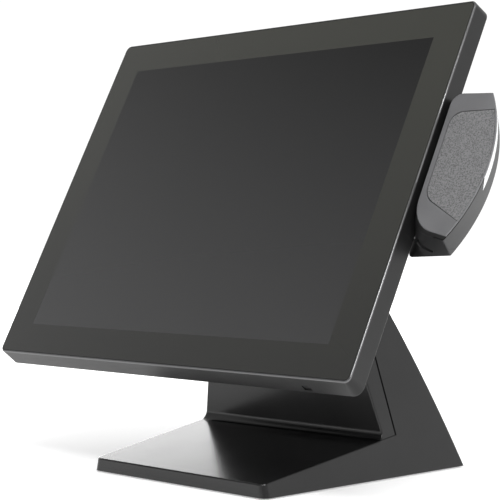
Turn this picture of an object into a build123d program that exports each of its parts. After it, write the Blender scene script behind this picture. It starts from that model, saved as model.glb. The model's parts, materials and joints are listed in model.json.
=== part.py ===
from build123d import *
import os
from math import cos, radians, sin

# ---- driving dimensions, mm; the stand stands on z = 0, centred on its footprint ----
TILT = 28.61                    # screen's lean back from upright
SCREEN = (0.0, -50.15, 207.39)  # centre of the active area
ACTIVE_W, ACTIVE_H = 304.1, 228.1
FRONT_W, FRONT_H, FRONT_S = 357.7, 279.1, 1.15     # front rim outline and its centre up the screen
REAR_W, REAR_H, REAR_S = 358.4, 283.9, -0.05       # outline at the rear edge of the side walls
FRAME_T = 15.1                  # depth of the side walls
GLASS_T, GASKET_T, LCD_T = 3.2, 1.0, 9.0
RIM, RIM_GAP = 1.1, 0.35        # rim beside the glass and the gap to it
RIM_R = 0.9                     # rounding of the rim's outer edge
HUMP_N = -50.0                  # rear face of the housing
HUMP_W, HUMP_H, HUMP_S = 250.0, 196.0, 5.0
WALL = 2.5
IO_W, IO_S, IO_N = 200.0, -72.0, -25.0             # connector bay: width, wall, ceiling

AXIS_Y, AXIS_Z = 14.2, 160.0    # tilt axis
SHAFT_R, SHAFT_L = 5.0, 107.0
TOP_R = 15.5                    # rounded top of the stand and the hinge barrel
SADDLE_X, SADDLE_Z = 48.0, 141.5

BASE_Y, BASE_H, BASE_LIFT = 98.2, 10.1, 0.8        # half length, front height, skirt lift
TOP_RISE, WALL_LEAN = 0.147, 0.166                 # slopes of the base top and the front wall
SIDE_X0, SIDE_SPLAY, SIDE_LEAN = 88.84, 0.084, 0.238
SKIN = 3.0
EDGE_R = 1.2                    # rounding of the stand's outer edges
KNEE_R = 6.0                    # hollow rounding between base and front wall
SEAM, SEAM_LOW = 1.4, 0.4       # grooves beside and below the front cover
PLATE_Z, PLATE_T = 2.0, 1.5
FIX_X, FIX_Y, FIX_R = 120.0, 140.0, 2.25           # counter fixing holes

READ_N, SLOT_N, READ_BACK = -4.0, -8.0, -28.0      # reader face, slot plane, back
SLOT_GAP, SLOT_DEEP = 1.5, 9.0
ARCS = ((READ_N, 132.0, 16.4, 96.7),               # outer arc by depth: n, centre x and s, radius
        (SLOT_N - 0.6, 127.4, 19.2, 97.4),
        (READ_BACK, 115.1, 15.7, 100.7))
PANEL_ARC = (132.0, 16.4, 94.9)                    # outer arc of the face panel

HEAD = Plane(origin=SCREEN, x_dir=(1, 0, 0),
             z_dir=(0, -cos(radians(TILT)), sin(radians(TILT))))
up, back = AXIS_Z - SCREEN[2], AXIS_Y - SCREEN[1]
AXIS_S = back * sin(radians(TILT)) + up * cos(radians(TILT))
AXIS_N = -back * cos(radians(TILT)) + up * sin(radians(TILT))


def save(name, part, head=False):
    if head:
        part = HEAD.location * part
    solids = part.solids()
    part = solids[0] if len(solids) == 1 else Compound(children=solids)
    part.label = name
    export_step(part, f"parts/{name}.step")


def box(x0, x1, y0, y1, z0, z1):
    return Pos((x0 + x1) / 2, (y0 + y1) / 2, (z0 + z1) / 2) * Box(x1 - x0, y1 - y0, z1 - z0)


def rod_x(r, x0, x1, y, z):
    return Pos((x0 + x1) / 2, y, z) * Rot(0, 90, 0) * Cylinder(r, x1 - x0)


def rod_y(r, x, y0, y1, z):
    return Pos(x, (y0 + y1) / 2, z) * Rot(90, 0, 0) * Cylinder(r, y1 - y0)


def rod_z(r, x, y, z0, z1):
    return Pos(x, y, (z0 + z1) / 2) * Cylinder(r, z1 - z0)


def slab(w, h, r, s, z0, z1):
    """Rounded plate in head coordinates, centred at s up the screen."""
    return extrude(Pos(0, s, z0) * RectangleRounded(w, h, r), z1 - z0)


def hull(w0, h0, r0, s0, n0, w1, h1, r1, s1, n1):
    return loft([Pos(0, s0, n0) * RectangleRounded(w0, h0, r0),
                 Pos(0, s1, n1) * RectangleRounded(w1, h1, r1)])


def screw(x, y, z, toward, r=1.5, head_r=2.8, head_t=1.6, length=6.0):
    """Screw along z with its head's outer face at z; toward is the way the shank points."""
    head = rod_z(head_r, x, y, *sorted((z, z + toward * head_t)))
    shank = rod_z(r, x, y, *sorted((z + toward * head_t, z + toward * length)))
    cross = sum((Pos(x, y, z) * Rot(0, 0, a) * Box(head_r * 1.1, 0.7, 1.6) for a in (0, 90)),
                start=Part())
    return head + shank - cross


# ---- head: glass, panel and electronics, in head coordinates (x, s, n) ----

def bezel_frame():
    body = hull(FRONT_W, FRONT_H, 4.5, FRONT_S, 0, REAR_W, REAR_H, 7, REAR_S, -FRAME_T)
    body = fillet(body.edges().group_by(Axis.Z)[-1], RIM_R)
    body = fillet(body.edges().group_by(Axis.Z)[0], 0.8)
    pocket = slab(FRONT_W - 2 * RIM, FRONT_H - 2 * RIM, 3.6, FRONT_S, -GLASS_T, 1)
    window = slab(338, 260, 3, FRONT_S, -6, 1)
    inside = slab(351, 272, 4, FRONT_S, -FRAME_T - 1, -6)
    body = body - pocket - window - inside
    for x in (-150, -50, 50):
        body += box(x - 5, x + 5, FRONT_S - 136.8, FRONT_S - 133.5, -FRAME_T, -6)
        body += box(x - 5, x + 5, FRONT_S + 133.5, FRONT_S + 136.8, -FRAME_T, -6)
    body -= box(POWER_X - 3.3, POWER_X + 3.3, -150, -132, POWER_N - 2.1, POWER_N + 2.1)
    body -= box(POWER_X - 5, POWER_X + 5, -136.7, -134.5, POWER_N - 3.5, POWER_N + 3.5)
    return body


def rear_housing():
    outer = hull(355.4, 280.9, 7, REAR_S, -FRAME_T, HUMP_W, HUMP_H, 18, HUMP_S, HUMP_N)
    inner = hull(350.4, 275.9, 5, REAR_S, -FRAME_T + 0.01,
                 HUMP_W - 5, HUMP_H - 5, 16, HUMP_S, HUMP_N + WALL)
    bay = box(-IO_W / 2, IO_W / 2, -150, IO_S, HUMP_N - 10, IO_N)
    bay_skin = box(-IO_W / 2 - WALL, IO_W / 2 + WALL, -150, IO_S + WALL, HUMP_N - 10, IO_N + WALL)
    shell = outer - bay - (inner - bay_skin)
    shell -= box(-IO_W / 2 + 4, IO_W / 2 - 4, IO_S - 1, IO_S + WALL + 1, HUMP_N + 3, IO_N - 2)
    for row in range(6):
        for x in range(-90, 91, 12):
            shell -= box(x - 4, x + 4, 52 + 6 * row, 54.4 + 6 * row, HUMP_N - 1, HUMP_N + WALL + 1)
    for x, s in HUMP_SCREWS:
        shell += rod_z(4.5, x, s, HUMP_N + 1, -18.2)
        shell -= rod_z(3.1, x, s, HUMP_N - 1, HUMP_N + 2.1) + rod_z(1.6, x, s, HUMP_N, -17)
    for x in (-30, 30):
        for s in (-6, 6):
            shell -= rod_z(2.1, x, AXIS_S + s, HUMP_N - 1, HUMP_N + WALL + 1)
    shell -= box(-12, 12, AXIS_S - 5, AXIS_S + 5, HUMP_N - 1, HUMP_N + WALL + 1)
    for k in range(5):
        shell -= box(-160, -150, -80 + 6 * k, -77 + 6 * k, -30, -24.5)
    return shell


HUMP_SCREWS = [(x, s) for x in (-112, 112) for s in (-50, 90)]
POWER_X, POWER_N = 137.0, -10.4


def panel_chassis():
    low = -FRAME_T + 0.7 - 1.2
    tray = slab(345, 266, 4, FRONT_S, low, low + 1.2)
    tray += slab(345, 266, 4, FRONT_S, low, -7) - slab(342.6, 263.6, 3, FRONT_S, low - 1, -6)
    for x in (-120, -60, 0, 60, 120):
        tray -= slab(30, 26, 6, -100, low - 1, low + 2).moved(Location((x, 0, 0)))
        tray -= slab(30, 26, 6, 112, low - 1, low + 2).moved(Location((x, 0, 0)))
    for x, s in BOARD_POSTS:
        tray += rod_z(3, x, s, BOARD_N, low) - rod_z(1.3, x, s, BOARD_N - 1, low - 0.2)
    for x, s in HUMP_SCREWS:
        tray += rod_z(4, x, s, -18.2, low) - rod_z(1.5, x, s, -19, low - 0.2)
    return tray


BOARD_N = -21.5
BOARD_POSTS = [(x, s) for x in (-84, 84) for s in (-58, 66)]


def mainboard():
    board = box(-90, 90, -68, 72, BOARD_N - 1.6, BOARD_N)
    for x, s in BOARD_POSTS:
        board -= rod_z(1.6, x, s, -30, -10)
    for x, s, w, h, t in ((-62, 34, 22, 22, 2.0), (44, -34, 14, 14, 1.6), (70, 20, 10, 24, 3.0),
                          (-70, -12, 12, 8, 4.0), (-48, -40, 18, 12, 1.4), (64, -10, 8, 8, 2.5)):
        board += box(x - w / 2, x + w / 2, s - h / 2, s + h / 2, BOARD_N - 1.6 - t, BOARD_N - 1.6)
    for k in range(5):
        board += rod_z(3.2, -78 + 8 * k, 60, BOARD_N - 9, BOARD_N - 1.6)
    board += box(24, 92 - 2, 44, 50, BOARD_N - 6, BOARD_N - 1.6) - box(25, 89, 46.2, 47.8,
                                                                    BOARD_N - 7, BOARD_N - 3)
    board += box(-8, 8, -6, 10, BOARD_N - 3.1, BOARD_N - 1.6)
    return board


def memory_module():
    stick = box(25.2, 88.8, 46.4, 47.6, BOARD_N - 24, BOARD_N - 3.1)
    for k in range(4):
        stick += box(28 + 15 * k, 39 + 15 * k, 45.2, 46.4, BOARD_N - 20, BOARD_N - 10)
    return stick


def heat_sink():
    sink = box(-32, 32, -34, 38, BOARD_N - 6.2, BOARD_N - 3.1)
    for k in range(13):
        sink += box(-32 + 5.2 * k, -30.4 + 5.2 * k, -34, 38, BOARD_N - 20, BOARD_N - 6.2)
    return sink


def storage_drive():
    drive = box(100, 150, -40, 34, -26.5, -19.8)
    drive -= box(99, 101, -20, 10, -25, -22)
    return drive


def drive_carrier():
    low = -15.6
    base = box(96, 154, -44, 40, low - 1.2, low)
    base += box(96, 154, -44, -42.8, -24, low) + box(96, 154, 38.8, 40, -24, low)
    for s in (-41.2, 37):
        for x in (104, 146):
            base -= rod_z(1.4, x, s, -30, -10)
    return base


def speaker(side):
    x = side * 128
    case = box(x - 18, x + 18, 52, 82, -28, -17.5)
    cone = rod_z(12.5, x, 67, -28.01, -25.5)
    case -= cone
    case += rod_z(5, x, 67, -27.2, -25.4)
    return case


def io_plate():
    plate = box(-IO_W / 2 + 4.2, IO_W / 2 - 4.2, IO_S + 0.4, IO_S + 1.6, HUMP_N + 3.2, IO_N - 2.2)
    for x, w, h in IO_SLOTS.values():
        for c in x:
            plate -= box(c - w / 2 - 0.3, c + w / 2 + 0.3, IO_S - 1, IO_S + 3,
                         IO_MID - h / 2 - 0.3, IO_MID + h / 2 + 0.3)
    plate -= rod_y(4.3, DC_X, IO_S - 1, IO_S + 3, IO_MID)
    return plate


IO_MID = -37.0
DC_X = -87.0
IO_SLOTS = {                      # centres, width, height
    "lan_socket": ((-68,), 16.0, 13.4),
    "usb_sockets": ((-50, -32), 14.6, 14.6),
    "drawer_socket": ((-12,), 14.0, 12.0),
    "video_socket": ((14,), 31.0, 11.0),
    "serial_sockets": ((48, 79), 26.0, 10.0),
}


def jack(name):
    xs, w, h = IO_SLOTS[name]
    out = Part()
    for x in xs:
        body = box(x - w / 2, x + w / 2, IO_S - 1.5, IO_S + 14, IO_MID - h / 2, IO_MID + h / 2)
        body += box(x - w / 2, x + w / 2, IO_S + 3, IO_S + 14, IO_MID + h / 2 - 0.5, BOARD_N - 1.6)
        if name in ("lan_socket", "drawer_socket"):
            half = w / 2 - 1.6
            body -= box(x - half, x + half, IO_S - 2, IO_S + 10, IO_MID - 4.4, IO_MID + 3.4)
            body -= box(x - 3, x + 3, IO_S - 2, IO_S + 10, IO_MID + 3.3, IO_MID + 4.8)
        elif name == "usb_sockets":
            for c in (-3.9, 3.9):
                body -= box(x - 6.3, x + 6.3, IO_S - 2, IO_S + 11, IO_MID + c - 2.5, IO_MID + c + 2.5)
                body += box(x - 5.4, x + 5.4, IO_S - 0.5, IO_S + 11.5,
                            IO_MID + c + 0.2, IO_MID + c + 1.9)
        else:
            body -= box(x - w / 2 + 4, x + w / 2 - 4, IO_S - 2, IO_S + 4,
                        IO_MID - h / 2 + 1.2, IO_MID + h / 2 - 1.2)
            body += box(x - w / 2 + 5, x + w / 2 - 5, IO_S - 1, IO_S + 4.5,
                        IO_MID - h / 2 + 2.2, IO_MID + h / 2 - 2.2)
            for side in (-1, 1):
                body += rod_y(1.8, x + side * (w / 2 - 2), IO_S - 5, IO_S - 1, IO_MID)
        out += body
    return out


def dc_inlet():
    body = rod_y(4.0, DC_X, IO_S - 1, IO_S + 3, IO_MID)
    body += box(DC_X - 5, DC_X + 5, IO_S + 3, IO_S + 14, IO_MID - 5.5, BOARD_N - 1.6)
    return body - rod_y(2.8, DC_X, IO_S - 2, IO_S + 10, IO_MID) + rod_y(1.0, DC_X, IO_S, IO_S + 11,
                                                                       IO_MID)


def power_button():
    cap = box(POWER_X - 3.0, POWER_X + 3.0, -140.2, -134.6, POWER_N - 1.8, POWER_N + 1.8)
    cap = fillet(cap.edges().filter_by(Axis.Y), 0.8)
    return cap + box(POWER_X - 4.7, POWER_X + 4.7, -136.5, -134.6, POWER_N - 3.1, POWER_N + 3.1)


def power_switch():
    return box(POWER_X - 3, POWER_X + 3, -133.4, -131.95, POWER_N - 2.6, POWER_N + 2.6)


# ---- tilt hinge, head side ----

def tilt_bracket():
    plate = box(-40, 40, AXIS_S - 12, AXIS_S + 12, HUMP_N - 2.5, HUMP_N)
    for x in (-30, 30):
        for s in (-6, 6):
            plate -= rod_z(2.1, x, AXIS_S + s, HUMP_N - 5, HUMP_N + 1)
    for x in (-38.5, 36):
        ear = box(x, x + 2.5, AXIS_S - 10, AXIS_S + 10, AXIS_N, HUMP_N - 2)
        ear += rod_x(10, x, x + 2.5, AXIS_S, AXIS_N)
        plate += ear
    for x in (-39, 35.5):
        plate -= rod_x(SHAFT_R + 0.05, x, x + 4, AXIS_S, AXIS_N)
    return plate


def bracket_screws():
    out = Part()
    for x in (-30, 30):
        for s in (-6, 6):
            out += screw(x, AXIS_S + s, HUMP_N - 4.3, 1, r=1.9, head_r=3.6, head_t=1.8, length=9)
    return out


def hinge_cover():
    low = HUMP_N - 0.2
    outer = rod_x(TOP_R, -47, 47, AXIS_S, AXIS_N)
    outer += box(-47, 47, AXIS_S - 13.5, AXIS_S + 13.5, AXIS_N, low)
    inner = rod_x(TOP_R - 2, -45, 45, AXIS_S, AXIS_N)
    inner += box(-45, 45, AXIS_S - 12.1, AXIS_S + 12.1, AXIS_N, low + 1)
    return outer - inner - rod_x(SHAFT_R + 0.5, -50, 50, AXIS_S, AXIS_N)


# ---- card reader at the right side, head coordinates ----

def arc_at(n):
    """Centre and radius of the outer arc at a depth, between and beyond the stated ones."""
    (n0, *low), (n1, *high) = ARCS[:2] if n > ARCS[1][0] else ARCS[1:]
    k = (n - n0) / (n1 - n0)
    return [a + (b - a) * k for a, b in zip(low, high)]


def reader_face(n, grow, foot_r):
    """Outline of the reader at a depth: rounded inner corners and the arc outside."""
    cx, cs, r = arc_at(n)
    r += grow
    t = max(0.0, (n - READ_N) / (READ_BACK - READ_N))
    top_s, low_s = 68.2 + grow, -35.4 - 1.4 * t - grow * 0.5
    top_x = cx + (r * r - (top_s - cs) ** 2) ** 0.5
    low_x = cx + (r * r - (low_s - cs) ** 2) ** 0.5
    left, corner = 182.0 - 15 * t - grow, -27.0 - 11.4 * t - grow
    pts = [(low_x, low_s), (left, corner), (left, 70 + grow), (top_x, top_s)]
    edges = [Line(pts[0], pts[1]), Line(pts[1], pts[2]), Line(pts[2], pts[3]),
             ThreePointArc(pts[3], (cx + r, cs), pts[0])]
    face = make_face(Wire(edges))
    near = sorted(face.vertices(), key=lambda v: v.X)[:2]
    face = fillet(min(near, key=lambda v: v.Y), 24 - 20 * t)
    high = min(face.vertices(), key=lambda v: (v.X - left) ** 2 + (v.Y - 70 - grow) ** 2)
    face = fillet(high, 8)
    if foot_r:
        foot = min(face.vertices(), key=lambda v: (v.X - low_x) ** 2 + (v.Y - low_s) ** 2)
        face = fillet(foot, foot_r)
    return Pos(0, 0, n) * face


def reader_solid(n0, n1, grow=0.0, foot_r=1.2):
    """Slice of the leaning outer form between two depths."""
    return loft([reader_face(n0, grow, foot_r), reader_face(n1, grow, foot_r)])


def head_keepout():
    front = hull(FRONT_W + 0.6, FRONT_H + 0.6, 5, FRONT_S, 0, REAR_W + 0.6, REAR_H + 0.6, 7, REAR_S,
                 -FRAME_T - 0.3)
    rear = hull(REAR_W + 0.6, REAR_H + 0.6, 7, REAR_S, -FRAME_T - 0.3, HUMP_W + 6, HUMP_H + 6, 18,
                HUMP_S, HUMP_N)
    return front + rear


def insert_face(gap=0.0):
    """Recessed panel of the reader's face."""
    cx, cs, r = PANEL_ARC
    r += gap

    def on_arc(s):
        return cx + (r * r - (s - cs) ** 2) ** 0.5, s
    left = 186.2 - gap
    pts = [on_arc(-24.6 - gap), (left, -6.6 - gap), (left, 55.2 + gap), on_arc(55.2 + gap)]
    edges = [Line(pts[0], pts[1]), Line(pts[1], pts[2]), Line(pts[2], pts[3]),
             ThreePointArc(pts[3], (cx + r, cs), pts[0])]
    face = make_face(Wire(edges))
    corner = min(face.vertices(), key=lambda v: v.X + v.Y)
    face = fillet(corner, 13)
    corner = min(face.vertices(), key=lambda v: v.X - v.Y)
    return fillet(corner, 9)


def reader_front():
    body = reader_solid(READ_N, SLOT_N, foot_r=0)
    body = fillet(body.edges().group_by(Axis.Z)[-1], 0.6)
    body -= extrude(Pos(0, 0, READ_N - 1.5) * insert_face(0.45), 5)
    return body - box(205, 215, 12, 24, -9, -5.2)


def reader_insert():
    return extrude(Pos(0, 0, READ_N - 1.4) * insert_face(), 1.2)


def reader_side():
    """Outer wall: a leaning skin that forms the far cheek of the card slot."""
    n0, n1 = SLOT_N - SLOT_GAP, READ_BACK
    band = reader_solid(n0, n1) - reader_solid(n0 + 1, n1 - 1, -2.4)
    band &= box(204, 240, -60, 66, n1, n0)
    return band - strip_zone(0.1)


def strip_zone(gap=0.0):
    """Space of the light strip: along the front edge of the outer wall."""
    pts = [(9 - gap, -9), (57 + gap, -9), (57 + gap, -16 - gap), (3 - gap, -16 - gap)]
    face = make_face(Polyline(*[(s, n) for s, n in pts], close=True))
    return extrude(Plane(origin=(212, 0, 0), x_dir=(0, 1, 0), z_dir=(1, 0, 0)) * face, 30)


def light_strip():
    n0, n1 = SLOT_N - SLOT_GAP, READ_BACK
    band = reader_solid(n0, n1) - reader_solid(n0 + 1, n1 - 1, -1.8)
    return band & strip_zone() & box(200, 240, -60, 90, n1, n0)


def reader_body():
    n0, n1 = SLOT_N - SLOT_GAP, READ_BACK
    form = reader_solid(n0, n1)
    side = reader_solid(n0 + 1, n1 - 1, -2.6)
    keep = form & (side + box(150, 203.8, -60, 90, -40, 0) + box(150, 240, 66.2, 90, -40, 0))
    cx, cs, r = arc_at(SLOT_N)
    keep += reader_solid(SLOT_N, n0, foot_r=0) & rod_z(r - SLOT_DEEP, cx, cs, n0, SLOT_N)
    hollow = reader_solid(n0 - 2.0, n1 + 2.5, -4.8) & box(186, 240, -60, 62, -40, 0)
    keep = keep - hollow - head_keepout()
    keep -= Pos(186, -37, -19.5) * Rot(0, 45, 0) * Box(11.8, 26, 3.0)
    keep -= rod_z(4.0, 210, 18, -12.5, SLOT_N + 1)
    for s in (-20, 40):
        keep -= rod_z(1.7, 174, s, READ_BACK - 1, -10)
    return keep


def magnetic_head():
    """Sprung pick-up that looks into the card slot from the rear cheek."""
    body = rod_z(3.6, 210, 18, -16.5, SLOT_N - SLOT_GAP - 0.6)
    tip = Pos(210, 18, SLOT_N - 0.4 - 4.6) * Sphere(4.6)
    return body + (tip & rod_z(2.9, 210, 18, SLOT_N - SLOT_GAP - 2, SLOT_N))


def head_spring():
    leaf = box(201, 214.5, 14, 22, -18.6, -18.0) + box(201, 203, 14, 22, -22.3, -18.0)
    return leaf + box(208.6, 211.4, 16.6, 19.4, -18.2, -17.2)


def reader_board():
    board = box(189, 203.5, -12, 46, -23.8, -22.3)
    for x, s, w, h in ((196, 0, 9, 9), (196, 36, 6, 12), (199, -8, 5, 4)):
        board += box(x - w / 2, x + w / 2, s - h / 2, s + h / 2, -22.3, -21.0)
    return board


def reader_screws():
    out = Part()
    for s in (-20, 40):
        out += screw(174, s, READ_BACK - 1.6, 1, r=1.6, head_r=3.0, head_t=1.6, length=7.5)
    return out


# ---- stand ----

def profile():
    z0 = (BASE_H + TOP_RISE * (24.98 + BASE_Y)) / (1 + TOP_RISE * WALL_LEAN)
    knee = (24.98 - WALL_LEAN * z0, z0)
    front = (AXIS_Y - TOP_R * 0.9865, AXIS_Z - TOP_R * 0.164)
    rear = (AXIS_Y + TOP_R * 0.902, AXIS_Z + TOP_R * 0.432)
    crown = (AXIS_Y - TOP_R * 0.1, AXIS_Z + TOP_R * 0.995)
    edges = [Line((-BASE_Y, BASE_LIFT), (-BASE_Y, BASE_H)), Line((-BASE_Y, BASE_H), knee),
             Line(knee, front), ThreePointArc(front, crown, rear), Line(rear, (49.5, 119)),
             ThreePointArc((49.5, 119), (73.8, 65.3), (98.0, BASE_LIFT)),
             Line((98.0, BASE_LIFT), (-BASE_Y, BASE_LIFT))]
    face = make_face(Wire(edges))
    return fillet(min(face.vertices(), key=lambda v: abs(v.X - knee[0]) + abs(v.Y - knee[1])), KNEE_R)


def side_profile(skin=0.0):
    face = profile()
    if skin:
        face = offset(face, amount=-skin, kind=Kind.INTERSECTION)
    return face


def stand_form(skin=0.0, below=0.0):
    """The stand's solid form inset by skin, with its leaning, splayed sides."""
    body = extrude(Plane.YZ * side_profile(skin), 130, both=True)
    if below:
        foot = body.faces().sort_by(Axis.Z)[0]
        body += extrude(foot, below, dir=(0, 0, -1))
    size = (1 + SIDE_SPLAY ** 2 + SIDE_LEAN ** 2) ** 0.5
    for side in (-1, 1):
        cut = Plane(origin=(side * (SIDE_X0 + SIDE_SPLAY * BASE_Y - skin * size), 0, 0),
                    z_dir=(side, -SIDE_SPLAY, SIDE_LEAN))
        body = split(body, bisect_by=cut, keep=Keep.BOTTOM)
    return body


def stand_shell():
    outer = stand_form()
    corners = [e for e in outer.edges()
               if abs(e.center().Y + BASE_Y) < 0.5 and e.bounding_box().size.Z > 5]
    outer = fillet(corners, 5.5)
    rims = [e for e in outer.edges() if e.center().Z > BASE_LIFT + 2
            and e.bounding_box().size.length > 4]
    outer = fillet(rims, EDGE_R)
    saddle = box(-SADDLE_X, SADDLE_X, -60, 70, SADDLE_Z, 200)
    saddle_skin = box(-SADDLE_X - SKIN, SADDLE_X + SKIN, -60, 70, SADDLE_Z - SKIN, 200)
    return outer - saddle - (stand_form(SKIN, 6) - saddle_skin)


def cover_zone(gap=0.0, low=0.0):
    """Space forward of the seam that parts the front cover from the sides."""
    z_at = lambda y: BASE_H + TOP_RISE * (y + BASE_Y) + low
    pts = [(-40, z_at(-40)), (-40, 190), (17.0 - gap, 190), (33.8 - gap, z_at(33.8 - gap))]
    return extrude(Plane.YZ * make_face(Polyline(*pts, close=True)), 130, both=True)


SHELL = None
BASE_SCREWS = [(side * x, y) for side in (-1, 1) for x, y in ((74, -70), (93.5, 60))]


def base_housing():
    shell = SHELL - cover_zone() - cable_zone()
    shell -= box(-24, 24, 80, 110, -1, 11)
    for x, y in BASE_SCREWS:
        post = rod_z(4.5, x, y, PLATE_Z + PLATE_T, 16) & stand_form(1.0)
        shell += post - rod_z(1.4, x, y, 0, 9.5)
    for side in (-1, 1):
        shell -= rod_x(SHAFT_R + 0.6, *sorted((side * 45, side * 52)), AXIS_Y, AXIS_Z)
    return shell


def front_cover():
    cover = SHELL & cover_zone(SEAM, SEAM_LOW)
    for side in (-1, 1):
        cover -= rod_x(SHAFT_R + 0.6, *sorted((side * 45, side * 52)), AXIS_Y, AXIS_Z)
    return cover


def cable_zone(gap=0.0):
    return box(-50 + gap, 50 - gap, 44, 120, 14 + gap, 122 - gap)


def cable_cover():
    panel = SHELL & cable_zone(0.4)
    grip = box(-14, 14, 44, 120, 104, 112) - stand_form(1.4)
    return panel - grip


def bottom_plate():
    plate = stand_form(SKIN + 0.4, 6) & box(-120, 120, -110, 110, PLATE_Z, PLATE_Z + PLATE_T)
    for x in (-FIX_X / 2, FIX_X / 2):
        for y in (-FIX_Y / 2, FIX_Y / 2):
            plate -= rod_z(FIX_R, x, y, 0, 6)
    for x, y in BASE_SCREWS:
        plate -= rod_z(1.7, x, y, 0, 6)
    plate -= box(-20, 20, 72, 110, 0, 6)
    for k in range(6):
        plate -= box(-40 + 14 * k, -34 + 14 * k, 26, 50, 0, 6)
    return plate


def base_screws():
    out = Part()
    for x, y in BASE_SCREWS:
        out += screw(x, y, PLATE_Z - 1.0, 1, r=1.4, head_r=2.6, head_t=1.0, length=6.5)
    return out


def rubber_feet():
    out = Part()
    for x in (-72, 72):
        for y in (-86, 84):
            out += rod_z(7, x, y, 0, PLATE_Z)
    return out


def centre_foot():
    return box(-20, 20, -9, 9, 0, PLATE_Z)


def ballast_plate():
    plate = box(-68, 68, -82, 14, PLATE_Z + PLATE_T, PLATE_Z + PLATE_T + 4)
    for x in (-FIX_X / 2, FIX_X / 2):
        plate -= rod_z(5, x, -FIX_Y / 2, 0, 12)
    for x in (-30, 30):
        plate -= rod_z(3, x, -34, 0, 12)
    return plate


def adapter_tray():
    z = PLATE_Z + PLATE_T
    tray = box(-64, 64, 24, 62, z, z + 1.2)
    for x in (-64, 62.8):
        tray += box(x, x + 1.2, 24, 62, z, z + 18)
    tray += box(-64, 64, 60.8, 62, z, z + 12)
    return tray


def power_adapter():
    z = PLATE_Z + PLATE_T + 1.2
    body = fillet(box(-62, 62, 26, 58, z, z + 56).edges().filter_by(Axis.X), 3)
    body -= box(-14, 14, 34, 50, z + 46, z + 57)
    return body + box(-4, 4, 40, 44, z + 45, z + 53)


def hinge_frame():
    frame = Part()
    for side in (-1, 1):
        x = sorted((side * 51.1, side * 53.1))
        frame += box(*x, AXIS_Y - 5.5, AXIS_Y + 9, 128, AXIS_Z) + rod_x(9, *x, AXIS_Y, AXIS_Z)
    frame += box(-53.1, 53.1, AXIS_Y - 5.5, AXIS_Y + 19, 126, 128)
    frame += box(-53.1, 53.1, AXIS_Y + 17, AXIS_Y + 19, 84, 128)
    for side in (-1, 1):
        frame -= rod_x(SHAFT_R + 0.02, *sorted((side * 50, side * 55)), AXIS_Y, AXIS_Z)
        for z in (92, 108):
            frame -= rod_y(2.2, side * 40, 20, 40, z)
    frame -= box(-20, 20, 10, 26, 120, 130)
    return frame


def hinge_anchor():
    """Cross web that ties the hinge frame to the sides of the stand."""
    web = box(-80, 80, AXIS_Y + 19, AXIS_Y + 22, 84, 118) & stand_form(SKIN + 0.3)
    web += box(-66, 66, AXIS_Y + 19, AXIS_Y + 30, 82, 84) & stand_form(SKIN + 0.3)
    for x in (-40, 40):
        for z in (92, 108):
            web -= rod_y(2.2, x, 20, 60, z)
    web -= box(-20, 20, 20, 60, 95, 120)
    return web


def hinge_screws():
    out = Part()
    for x in (-40, 40):
        for z in (92, 108):
            out += rod_y(2.0, x, AXIS_Y + 14, AXIS_Y + 24, z)
            out += rod_y(3.8, x, AXIS_Y + 13.6, AXIS_Y + 17, z)
    return out


def hinge_shaft():
    return rod_x(SHAFT_R, -SHAFT_L / 2 - 1, SHAFT_L / 2 + 1, AXIS_Y, AXIS_Z)


def shaft_clips():
    out = Part()
    for side in (-1, 1):
        ring = rod_x(7, *sorted((side * 53.15, side * 54.3)), AXIS_Y, AXIS_Z)
        out += ring - rod_x(SHAFT_R, -60, 60, AXIS_Y, AXIS_Z)
    return out


def friction_washers():
    out = Part()
    for side in (-1, 1):
        for x0, x1, r in ((33.0, 35.8, 9.0), (38.7, 41.2, 9.0)):
            ring = rod_x(r, *sorted((side * x0, side * x1)), AXIS_Y, AXIS_Z)
            out += ring - rod_x(SHAFT_R, -60, 60, AXIS_Y, AXIS_Z)
    return out


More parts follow.
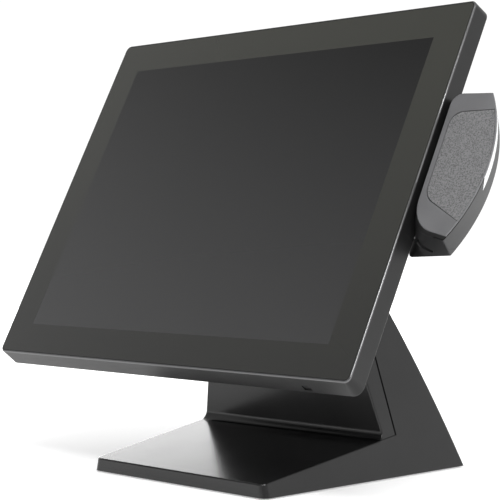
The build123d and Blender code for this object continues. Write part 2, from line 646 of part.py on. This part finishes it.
def main():
    global SHELL
    os.makedirs("parts", exist_ok=True)
    SHELL = stand_shell()
    stand = {
        "base_housing": base_housing, "front_cover": front_cover, "cable_cover": cable_cover,
        "bottom_plate": bottom_plate, "base_screws": base_screws, "rubber_feet": rubber_feet,
        "centre_foot": centre_foot, "ballast_plate": ballast_plate, "adapter_tray": adapter_tray,
        "power_adapter": power_adapter, "hinge_frame": hinge_frame, "hinge_anchor": hinge_anchor,
        "hinge_screws": hinge_screws, "hinge_shaft": hinge_shaft, "shaft_clips": shaft_clips,
        "friction_washers": friction_washers,
    }
    head = {
        "bezel_frame": bezel_frame, "rear_housing": rear_housing, "panel_chassis": panel_chassis,
        "mainboard": mainboard, "memory_module": memory_module, "heat_sink": heat_sink,
        "storage_drive": storage_drive, "drive_carrier": drive_carrier, "io_plate": io_plate,
        "dc_inlet": dc_inlet, "power_button": power_button, "power_switch": power_switch,
        "tilt_bracket": tilt_bracket, "bracket_screws": bracket_screws,
        "hinge_cover": hinge_cover, "reader_front": reader_front, "reader_insert": reader_insert,
        "reader_side": reader_side, "light_strip": light_strip, "reader_body": reader_body,
        "magnetic_head": magnetic_head, "head_spring": head_spring, "reader_board": reader_board,
        "reader_screws": reader_screws,
    }
    for name, make in stand.items():
        save(name, make())
    for name, make in head.items():
        save(name, make(), head=True)
    glass_w, glass_h = FRONT_W - 2 * (RIM + RIM_GAP), FRONT_H - 2 * (RIM + RIM_GAP)
    save("touch_glass", slab(glass_w, glass_h, 3.2, FRONT_S, -GLASS_T, 0), head=True)
    gasket = slab(332, 256, 3, 0, -GLASS_T - GASKET_T, -GLASS_T)
    gasket -= slab(ACTIVE_W + 3, ACTIVE_H + 3, 1, 0, -9, 0)
    save("dust_gasket", gasket, head=True)
    lcd_back = -GLASS_T - GASKET_T - LCD_T
    save("lcd_panel", slab(326, 252, 1.5, 0, lcd_back, lcd_back + LCD_T), head=True)
    for name in IO_SLOTS:
        save(name, jack(name), head=True)
    for side, name in ((-1, "speaker_left"), (1, "speaker_right")):
        save(name, speaker(side), head=True)
    screws = sum((screw(x, s, HUMP_N + 0.3, 1, r=1.5, head_r=2.9, head_t=1.7, length=33)
                  for x, s in HUMP_SCREWS), start=Part())
    save("housing_screws", screws, head=True)


main()
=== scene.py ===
import json
import math

import bmesh
import bpy
from mathutils import Matrix, Vector

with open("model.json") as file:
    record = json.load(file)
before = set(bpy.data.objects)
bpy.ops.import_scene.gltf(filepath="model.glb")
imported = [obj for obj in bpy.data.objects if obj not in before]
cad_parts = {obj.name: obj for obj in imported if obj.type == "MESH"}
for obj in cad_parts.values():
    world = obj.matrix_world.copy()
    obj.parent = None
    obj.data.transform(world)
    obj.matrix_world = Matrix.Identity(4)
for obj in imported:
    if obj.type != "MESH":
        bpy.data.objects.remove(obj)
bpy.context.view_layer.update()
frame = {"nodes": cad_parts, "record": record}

MM = 0.001

# ---- the screen: its lean, the centre of its picture area and half the size of that ----
LEAN = math.radians(28.61)
SCREEN = Vector((0.0, -0.05015, 0.20739))
ACTIVE_HALF = (0.15205, 0.11405)
ACTIVE_EDGE = 0.25 * MM

# ---- places on the head where a finish changes: depths from the glass, and one x ----
RIM_DEPTHS = (-1.3 * MM, -0.9 * MM)
SHELL_DEPTHS = (-8.1 * MM, -7.9 * MM)
SHELL_X = (180 * MM, 182 * MM)
SLOT_DEPTH, SLOT_HALF = -7.3 * MM, (2.3 * MM, 2.6 * MM)
CHEEK_DEPTHS = (-9.9 * MM, -9.3 * MM)

# ---- colours that are used inside the finishes ----
# the picture and border tones go from low to high up the glass: painted reflection and shade
PICTURE_LOW, PICTURE_HIGH = (0.0315, 0.0315, 0.032), (0, 0, 0)
BORDER_LOW, BORDER_HIGH = (0.0172, 0.0173, 0.016), (0.0285, 0.029, 0.0242)
BOARD_GREEN, TRACK_GREEN = (0.008, 0.06, 0.025), (0.02, 0.13, 0.05)
POLISHED, READER_SHELL = (0.15, 0.15, 0.152), (0.02, 0.02, 0.0205)
# the next two colours are painted shade: the wall behind the card slot and the slot itself
CHEEK_PAINTED_SHADE, SLOT_PAINTED_SHADE = (0.018, 0.018, 0.0188), (0.012, 0.012, 0.012)


# ---- shader values and finishes ----

class Value:
    """One shader value; arithmetic on it adds Math nodes."""

    def __init__(self, finish, socket):
        self.finish, self.socket = finish, socket

    def _math(self, operation, *values):
        return self.finish.node("Math", {"operation": operation}, dict(enumerate(values)))

    def __add__(self, other):
        return self._math("ADD", self, other)

    def __sub__(self, other):
        return self._math("SUBTRACT", self, other)

    def __rsub__(self, other):
        return self._math("SUBTRACT", other, self)

    def __mul__(self, other):
        return self._math("MULTIPLY", self, other)

    def __truediv__(self, other):
        return self._math("DIVIDE", self, other)

    def __abs__(self):
        return self._math("ABSOLUTE", self)

    __radd__, __rmul__ = __add__, __mul__


class Nodes:
    """A node tree and the one way that nodes are added to it."""

    def __init__(self, owner, shader, place):
        owner.use_nodes = True
        self.tree = owner.node_tree
        self.shader = self.tree.nodes[shader]
        self.place = self.node("TexCoord", {}, {}, place)

    def set(self, socket, value):
        self._feed(self.shader.inputs[socket], value)

    def _feed(self, target, value):
        if isinstance(value, Value):
            self.tree.links.new(value.socket, target)
        else:
            target.default_value = value

    def node(self, kind, settings, inputs, output=0):
        made = self.tree.nodes.new("ShaderNode" + kind)
        for name, value in settings.items():
            setattr(made, name, value)
        for name, value in inputs.items():
            self._feed(made.inputs[name], value)
        return Value(self, made.outputs[output])

    def axes(self):
        split = self.tree.nodes.new("ShaderNodeSeparateXYZ")
        self._feed(split.inputs[0], self.place)
        return [Value(self, out) for out in split.outputs]

    def ramp(self, value, low, high, out_low=0.0, out_high=1.0, smooth=True):
        return self.node("MapRange", {"interpolation_type": "SMOOTHSTEP" if smooth else "LINEAR"},
                         {"Value": value, "From Min": low, "From Max": high,
                          "To Min": out_low, "To Max": out_high})

    def mix(self, amount, first, second):
        made = self.tree.nodes.new("ShaderNodeMix")
        made.data_type = "RGBA"
        for index, value in ((0, amount), (6, first), (7, second)):
            self._feed(made.inputs[index], (*value, 1) if isinstance(value, tuple) else value)
        return Value(self, made.outputs[2])


class Finish(Nodes):
    """A material with one Principled shader and the nodes that vary it."""

    def __init__(self, name, colour, roughness, **fixed):
        self.mat = bpy.data.materials.new(name)
        super().__init__(self.mat, "Principled BSDF", "Object")
        self.set("Base Color", (*colour, 1))
        self.set("Roughness", roughness)
        for socket, value in fixed.items():
            self.set(socket.replace("_", " "), value)

    def made(self, socket):
        """The value that already feeds a socket."""
        return Value(self, self.shader.inputs[socket].links[0].from_socket)

    def noise(self, size, detail=3.0, rough=0.5, place=None):
        """Even noise around 0.5 whose features are about size metres."""
        return self.node("TexNoise", {}, {"Vector": place or self.place, "Scale": 1 / size,
                                          "Detail": detail, "Roughness": rough})

    def bump(self, height, distance, strength=1.0):
        self.set("Normal", self.node("Bump", {}, {"Height": height, "Distance": distance,
                                                  "Strength": strength}))


def moulded(name, colour, rough, grain=0.35 * MM, depth=0.03 * MM, wear=0.08, **fixed):
    """Moulded plastic: fine spark texture, faint cloudiness and handling marks."""
    fin = Finish(name, colour, rough, **fixed)
    fine = fin.noise(grain, 2.0, 0.6)
    cloud = fin.noise(38 * MM, 4.0, 0.55)
    dark = tuple(c * (1 - wear) for c in colour)
    light = tuple(min(1, c * (1 + wear) + 0.002) for c in colour)
    fin.set("Base Color", fin.mix(fin.ramp(cloud, 0.3, 0.7), dark, light))
    fin.set("Roughness", fin.ramp(cloud, 0.25, 0.75, rough * 0.92, rough * 1.1) + fine * 0.05)
    fin.bump(fine, depth, 0.7)
    return fin


def glass_finish():
    """Cover glass: printed border around the picture area, each with a painted change of tone.

    The picture area gets darker towards the top and the border gets lighter. This tone is
    painted reflection and shade that stands in for the glass's reflections, not lamp light.
    """
    fin = Finish("touch_glass", (0.03, 0.03, 0.027), 0.1, IOR=1.5, Specular_IOR_Level=0.5)
    x, y, z = fin.axes()
    s = (y - SCREEN.y) * math.sin(LEAN) + (z - SCREEN.z) * math.cos(LEAN)
    inside = [fin.ramp(abs(across), half - ACTIVE_EDGE, half + ACTIVE_EDGE, 1, 0)
              for across, half in zip((x, s), ACTIVE_HALF)]
    active = inside[0] * inside[1]
    smear = fin.noise(60 * MM, 5.0, 0.6)
    # painted reflection and shade: a change of tone up the glass that stands in for reflections
    painted_reflection_slope = fin.ramp(s / ACTIVE_HALF[1] * 0.88 + x / ACTIVE_HALF[0] * 0.12, -1, 1, smooth=False)
    picture = fin.mix(painted_reflection_slope, PICTURE_LOW, PICTURE_HIGH)
    border = fin.mix(painted_reflection_slope, BORDER_LOW, BORDER_HIGH)
    fin.set("Base Color", fin.mix(active, border, picture))
    fin.set("Roughness", fin.ramp(smear, 0.3, 0.8, 0.03, 0.07) + active * 0.16)
    return fin


def brushed(name, colour, rough, stretch=(1, 14, 14)):
    """Brushed metal with fine lines along the axis that is stretched least."""
    fin = Finish(name, colour, rough, Metallic=1.0)
    place = fin.node("Mapping", {}, {"Vector": fin.place, "Scale": stretch})
    lines = fin.noise(3 * MM, 3.0, 0.6, place)
    fin.set("Roughness", fin.ramp(lines, 0.3, 0.7, rough - 0.08, rough + 0.1))
    dull = tuple(c * 0.86 for c in colour)
    fin.set("Base Color", fin.mix(fin.ramp(lines, 0.3, 0.7), dull, colour))
    fin.bump(lines, 0.02 * MM, 0.4)
    return fin


def laminate(name):
    """Circuit board: green laminate with a faint weave and track pattern."""
    fin = Finish(name, (0.01, 0.07, 0.03), 0.4)
    tracks = fin.node("TexBrick", {"offset": 0.5},
                      {"Vector": fin.place, "Scale": 260.0, "Mortar Size": 0.12,
                       "Color1": (0, 0, 0, 1), "Color2": (0, 0, 0, 1), "Mortar": (1, 1, 1, 1)})
    fin.set("Base Color", fin.mix(tracks, BOARD_GREEN, TRACK_GREEN))
    return fin


def grained(name, colour, rough):
    """Deep leather-like moulded grain of the reader's face panel."""
    fin = Finish(name, colour, rough)
    cells = fin.node("TexVoronoi", {"feature": "F1"},
                     {"Vector": fin.place, "Scale": 1 / (1.1 * MM)})
    fine = fin.noise(1.0 * MM, 3.0, 0.75)
    height = cells * 0.5 + fine * 0.7
    dark, light = (tuple(c * k for c in colour) for k in (0.4, 1.6))
    fin.set("Base Color", fin.mix(fin.ramp(height, 0.3, 0.75), dark, light))
    fin.set("Roughness", fin.ramp(fine, 0.3, 0.7, rough - 0.05, rough + 0.08))
    fin.bump(height, 0.12 * MM, 0.9)
    return fin


def depth_on_head(fin):
    """How far a point stands out from the glass; behind it the value is negative."""
    _, y, z = fin.axes()
    return (z - SCREEN.z) * math.sin(LEAN) - (y - SCREEN.y) * math.cos(LEAN)


def housing_finish():
    """Satin plastic of the head, with a polished rim, and a lighter rear shell of the reader."""
    fin = moulded("housing_plastic", (0.005, 0.005, 0.0051), 0.3, 0.3 * MM, 0.012 * MM,
                  Specular_IOR_Level=0.36)
    depth = depth_on_head(fin)
    rim = fin.ramp(depth, *RIM_DEPTHS)
    shell = fin.ramp(fin.axes()[0], *SHELL_X) * fin.ramp(depth, *SHELL_DEPTHS, 1, 0)
    satin = fin.mix(shell, fin.made("Base Color"), READER_SHELL)
    fin.set("Base Color", fin.mix(rim, satin, POLISHED))
    fin.set("Metallic", rim)
    fin.set("Roughness", fin.made("Roughness") * (1 - rim) + rim * 0.3)
    return fin


def reader_finish():
    """Reader front: moulded plastic, painted shade nearly black in the card slot, darker behind
    it.
    """
    fin = moulded("reader_plastic", (0.11, 0.11, 0.114), 0.42, 0.3 * MM, 0.02 * MM)
    depth = depth_on_head(fin)
    # painted shade: the card slot is nearly black and the wall behind it darker, where shade
    # falls
    slot_painted_shade = fin.ramp(abs(depth - SLOT_DEPTH), *SLOT_HALF, 1, 0)
    cheek_painted_shade = fin.ramp(depth, *CHEEK_DEPTHS, 1, 0)
    colour = fin.mix(cheek_painted_shade, fin.made("Base Color"), CHEEK_PAINTED_SHADE)
    fin.set("Base Color", fin.mix(slot_painted_shade, colour, SLOT_PAINTED_SHADE))
    return fin


FINISHES = {
    "housing_plastic": housing_finish(),
    "stand_plastic": moulded("stand_plastic", (0.004, 0.004, 0.0041), 0.2, 0.3 * MM, 0.004 * MM),
    "touch_glass": glass_finish(),
    "display_film": moulded("display_film", (0.06, 0.06, 0.065), 0.4),
    "gasket_foam": moulded("gasket_foam", (0.015, 0.015, 0.015), 0.9, 0.5 * MM, 0.1 * MM),
    "sheet_steel": brushed("sheet_steel", (0.55, 0.56, 0.57), 0.42),
    "board_laminate": laminate("board_laminate"),
    "sink_aluminium": brushed("sink_aluminium", (0.72, 0.73, 0.74), 0.38, (14, 1, 14)),
    "drive_shell": brushed("drive_shell", (0.5, 0.51, 0.53), 0.4),
    "socket_shell": brushed("socket_shell", (0.62, 0.62, 0.63), 0.28),
    "socket_plastic": moulded("socket_plastic", (0.015, 0.015, 0.016), 0.5),
    "button_plastic": moulded("button_plastic", (0.02, 0.02, 0.021), 0.3),
    "hinge_steel": brushed("hinge_steel", (0.42, 0.42, 0.43), 0.36),
    "screw_steel": brushed("screw_steel", (0.2, 0.2, 0.21), 0.34),
    "reader_plastic": reader_finish(),
    "reader_texture": grained("reader_texture", (0.098, 0.098, 0.1), 0.5),
    "light_diffuser": moulded("light_diffuser", (0.74, 0.75, 0.76), 0.25, 0.4 * MM, 0.005 * MM),
    "sensor_brass": brushed("sensor_brass", (0.66, 0.5, 0.24), 0.25),
    "spring_steel": brushed("spring_steel", (0.6, 0.6, 0.6), 0.25),
    "ballast_iron": moulded("ballast_iron", (0.05, 0.05, 0.05), 0.6, 0.8 * MM, 0.1 * MM),
    "foot_rubber": moulded("foot_rubber", (0.02, 0.02, 0.02), 0.8, 0.5 * MM, 0.06 * MM),
    "adapter_plastic": moulded("adapter_plastic", (0.02, 0.02, 0.02), 0.5),
    "washer_brass": brushed("washer_brass", (0.66, 0.48, 0.22), 0.35),
}

for part in frame["record"]["subparts"]:
    mesh = frame["nodes"][part["node"]].data
    mesh.materials.clear()
    mesh.materials.append(FINISHES[part["material_slot"]].mat)


# ---- studio ----

def area_light(name, place, target, size, power, turn=0):
    """Soft light aimed at a target and turned about its own aim by some degrees."""
    data = bpy.data.lights.new(name, "AREA")
    data.shape, data.size, data.size_y, data.energy = "RECTANGLE", size[0], size[1], power
    light = bpy.data.objects.new(name, data)
    bpy.context.scene.collection.objects.link(light)
    aim = (Vector(target) - Vector(place)).to_track_quat("-Z", "Y")
    light.matrix_world = (Matrix.Translation(place) @ aim.to_matrix().to_4x4()
                          @ Matrix.Rotation(math.radians(turn), 4, "Z"))


def floor():
    """Pale round floor that gives off a little light of its own, more of it further out."""
    bm = bmesh.new()
    bmesh.ops.create_circle(bm, cap_ends=True, segments=64, radius=6.0)
    bmesh.ops.translate(bm, verts=bm.verts, vec=(0, 0, -0.0002))
    mesh = bpy.data.meshes.new("floor")
    bm.to_mesh(mesh)
    bm.free()
    obj = bpy.data.objects.new("floor", mesh)
    bpy.context.scene.collection.objects.link(obj)
    paint = Finish("floor", (0.9, 0.9, 0.9), 0.9, Emission_Strength=1.0)
    x, y, _ = paint.axes()
    glow = paint.ramp(x * x + y * y, 0.03, 0.45, smooth=False)
    paint.set("Emission Color", paint.mix(glow, (0.38, 0.38, 0.38), (0.85, 0.85, 0.85)))
    mesh.materials.append(paint.mat)


def camera():
    """Camera set by its azimuth and height of view, its roll, its place and its focal length."""
    azimuth, height, roll = (math.radians(a) for a in (44.80, 1.19, -0.57))
    back = Vector((math.sin(azimuth) * math.cos(height), -math.cos(azimuth) * math.cos(height),
                   math.sin(height)))
    right = (-back).cross(Vector((0, 0, 1))).normalized()
    up = right.cross(-back)
    tilted_right = right * math.cos(roll) + up * math.sin(roll)
    tilted_up = up * math.cos(roll) - right * math.sin(roll)
    data = bpy.data.cameras.new("camera")
    data.sensor_width, data.lens, data.clip_end = 36.0, 108.565, 30.0
    obj = bpy.data.objects.new("camera", data)
    bpy.context.scene.collection.objects.link(obj)
    turn = Matrix((tilted_right, tilted_up, back)).transposed().to_4x4()
    obj.matrix_world = Matrix.Translation((0.78210, -0.80804, 0.18632)) @ turn
    bpy.context.scene.camera = obj


def studio_sky():
    """A brightly lit backdrop that falls off towards the front of the studio and overhead."""
    world = bpy.data.worlds.new("studio")
    sky = Nodes(world, "Background", "Generated")
    x, y, height = sky.axes()
    behind = y * 0.8 - x * 0.3
    wall = sky.mix(sky.ramp(behind, -0.35, 0.15), (0.5, 0.5, 0.5), (1.06, 1.06, 1.06))
    sky.set("Color", sky.mix(sky.ramp(height, 0.25, 0.8), wall, (0.38, 0.38, 0.38)))
    bpy.context.scene.world = world


floor()
camera()
studio_sky()
area_light("overhead", (0.2, -0.2, 1.6), (0, 0, 0.1), (1.6, 1.6), 4)
area_light("edge_strip", (1.35, -0.95, 1.40), (0.17, -0.05, 0.2), (0.3, 1.7), 34, 67)
area_light("back_card", (-1.5, 1.45, 0.38), (0, 0, 0.02), (1.5, 0.72), 11)
bpy.context.scene.view_settings.view_transform = "Standard"
